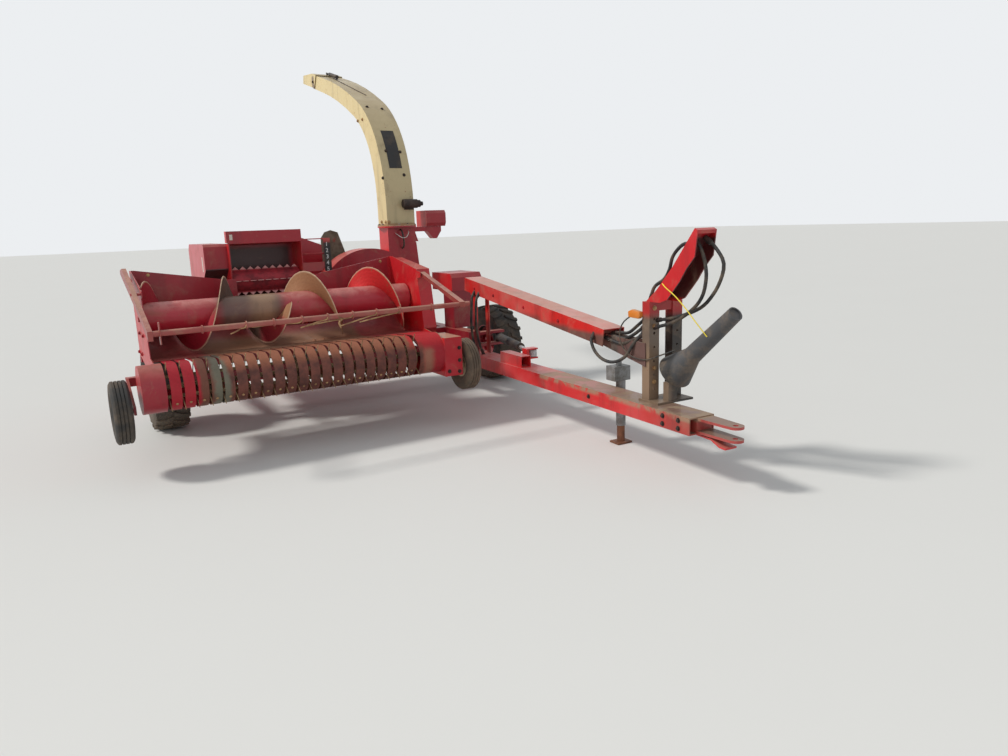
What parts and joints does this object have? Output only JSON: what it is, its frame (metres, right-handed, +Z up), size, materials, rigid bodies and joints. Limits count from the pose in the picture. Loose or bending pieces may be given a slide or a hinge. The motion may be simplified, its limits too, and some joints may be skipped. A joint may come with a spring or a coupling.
{
  "type": "pull-type forage harvester",
  "caption": "Pull-type forage harvester with a hay pickup head, parked on its wheels and jack, with a tall curved discharge spout.",
  "frame": {"origin": "on the ground under the middle of the machine's outer box", "axes": "+Z up, -Y the way it is pulled, +X towards the drawbar's side"},
  "size_m": [3.784, 6.168, 3.2974],
  "materials": {
    "red_paint": "sun-faded red paint with dust",
    "dark_red_paint": "red paint in shade, with dust",
    "cream_paint": "weathered cream paint",
    "rusty_steel": "worn steel with rust and old paint",
    "bare_steel": "galvanised or plated steel",
    "dark_steel": "greasy dark steel",
    "tyre_rubber": "dusty ribbed tread",
    "rim_paint": "dusty tan paint",
    "black_plastic": "grey-black shield",
    "black_paint": "black enamel",
    "white_paint": "white enamel"
  },
  "bodies": {
    "root": {"main_frame": "dark_red_paint", "axle": "dark_red_paint", "feed_housing": "red_paint", "cutter_housing": "red_paint", "cutter_drum": "dark_steel", "cross_conveyor": "red_paint", "blower_housing": "red_paint", "blower_rotor": "dark_steel", "spout_tower": "red_paint", "drive_shield_left": "red_paint", "gear_shield_right": "red_paint", "gearbox": "dark_red_paint", "roll_scale_bar": "white_paint", "access_plate": "dark_steel", "spout_motor_box": "red_paint"},
    "wheel_left": {"tyre_left": "tyre_rubber", "rim_left": "dark_red_paint"},
    "wheel_right": {"tyre_right": "tyre_rubber", "rim_right": "dark_red_paint"},
    "header": {"header_trough": "red_paint", "strippers": "rusty_steel", "wheel_arms": "dark_red_paint"},
    "auger": {"auger_tube": "red_paint", "auger_flights": "rusty_steel"},
    "reel": {"tine_reel": "rusty_steel"},
    "gauge_wheel_left": {"gauge_tyre_left": "tyre_rubber", "gauge_rim_left": "rim_paint"},
    "gauge_wheel_right": {"gauge_tyre_right": "tyre_rubber", "gauge_rim_right": "rim_paint"},
    "wind_guard": {"wind_guard": "dark_red_paint"},
    "upper_roll": {"feed_roll_upper": "dark_red_paint"},
    "lower_roll": {"feed_roll_lower": "rusty_steel"},
    "drawbar": {"drawbar_beam": "red_paint", "shaft_cover": "red_paint", "mast": "dark_steel", "mast_arm": "red_paint", "jack_tube": "bare_steel", "shaft_shield": "black_plastic"},
    "jack": {"jack_leg": "rusty_steel"},
    "swing_barrel": {"swing_barrel": "black_paint"},
    "swing_rod": {"swing_rod": "bare_steel"},
    "lift_barrel": {"lift_barrel": "black_paint"},
    "lift_rod": {"lift_rod": "bare_steel"},
    "spout": {"spout": "cream_paint"},
    "cap": {"spout_cap": "cream_paint"}
  },
  "joints": [
    {"name": "left_wheel_turn", "type": "hinge", "parent": "root", "child": "wheel_left", "pos_m": [-1.408, 0.78249, 0.376], "axis": [1, 0, 0], "continuous": true},
    {"name": "right_wheel_turn", "type": "hinge", "parent": "root", "child": "wheel_right", "pos_m": [1.752, 0.78249, 0.376], "axis": [1, 0, 0], "continuous": true},
    {"name": "header_lift", "type": "hinge", "parent": "root", "child": "header", "pos_m": [-0.548, 0.53249, 0.64], "axis": [1, 0, 0], "range_deg": [0, 12]},
    {"name": "auger_turn", "type": "hinge", "parent": "header", "child": "auger", "pos_m": [-0.548, 0.06349, 0.989], "axis": [1, 0, 0], "continuous": true},
    {"name": "reel_turn", "type": "hinge", "parent": "header", "child": "reel", "pos_m": [-0.548, -0.46251, 0.574], "axis": [1, 0, 0], "continuous": true},
    {"name": "left_gauge_wheel_turn", "type": "hinge", "parent": "header", "child": "gauge_wheel_left", "pos_m": [-1.834, -0.46251, 0.445], "axis": [1, 0, 0], "continuous": true},
    {"name": "right_gauge_wheel_turn", "type": "hinge", "parent": "header", "child": "gauge_wheel_right", "pos_m": [0.728, -0.46251, 0.445], "axis": [1, 0, 0], "continuous": true},
    {"name": "wind_guard_lift", "type": "hinge", "parent": "header", "child": "wind_guard", "pos_m": [-0.548, -0.22251, 1.186], "axis": [-1, 0, 0], "range_deg": [0, 35]},
    {"name": "upper_roll_turn", "type": "hinge", "parent": "root", "child": "upper_roll", "pos_m": [-0.548, 0.63249, 1.175], "axis": [1, 0, 0], "continuous": true},
    {"name": "lower_roll_turn", "type": "hinge", "parent": "root", "child": "lower_roll", "pos_m": [-0.548, 0.63249, 0.86], "axis": [1, 0, 0], "continuous": true},
    {"name": "drawbar_swing", "type": "hinge", "parent": "root", "child": "drawbar", "pos_m": [1.174, 0.22249, 0.362], "axis": [0, 0, 1], "range_deg": [-8, 14]},
    {"name": "jack_extend", "type": "slide", "parent": "drawbar", "child": "jack", "axis": [0, 0, 1], "range_m": [-0.15, 0.11]},
    {"name": "swing_barrel_turn", "type": "hinge", "parent": "root", "child": "swing_barrel", "pos_m": [1.532, 0.30249, 0.5], "axis": [0, 0, 1], "range_deg": [-10, 20]},
    {"name": "swing_rod_slide", "type": "slide", "parent": "swing_barrel", "child": "swing_rod", "axis": [-0.2648, -0.9643, 0], "range_m": [-0.1, 0.06]},
    {"name": "lift_barrel_turn", "type": "hinge", "parent": "root", "child": "lift_barrel", "pos_m": [-0.298, 0.63249, 0.4], "axis": [1, 0, 0], "range_deg": [0, 12]},
    {"name": "lift_rod_slide", "type": "slide", "parent": "lift_barrel", "child": "lift_rod", "axis": [0, -0.8944, 0.4472], "range_m": [-0.06, 0]},
    {"name": "spout_turn", "type": "hinge", "parent": "root", "child": "spout", "pos_m": [0.862, 1.04049, 1.58], "axis": [0, 0, 1], "range_deg": [-100, 100]},
    {"name": "cap_tilt", "type": "hinge", "parent": "spout", "child": "cap", "pos_m": [0.862, 2.75281, 3.24781], "axis": [1, 0, 0], "range_deg": [-40, 0]}
  ],
  "couplings": [
    {"joint": "swing_barrel_turn", "follows": "drawbar_swing", "ratio": 0.8451},
    {"joint": "swing_rod_slide", "follows": "drawbar_swing", "m_per_rad": -0.33},
    {"joint": "lift_barrel_turn", "follows": "header_lift", "ratio": 0.6511},
    {"joint": "lift_rod_slide", "follows": "header_lift", "m_per_rad": -0.1827}
  ]
}
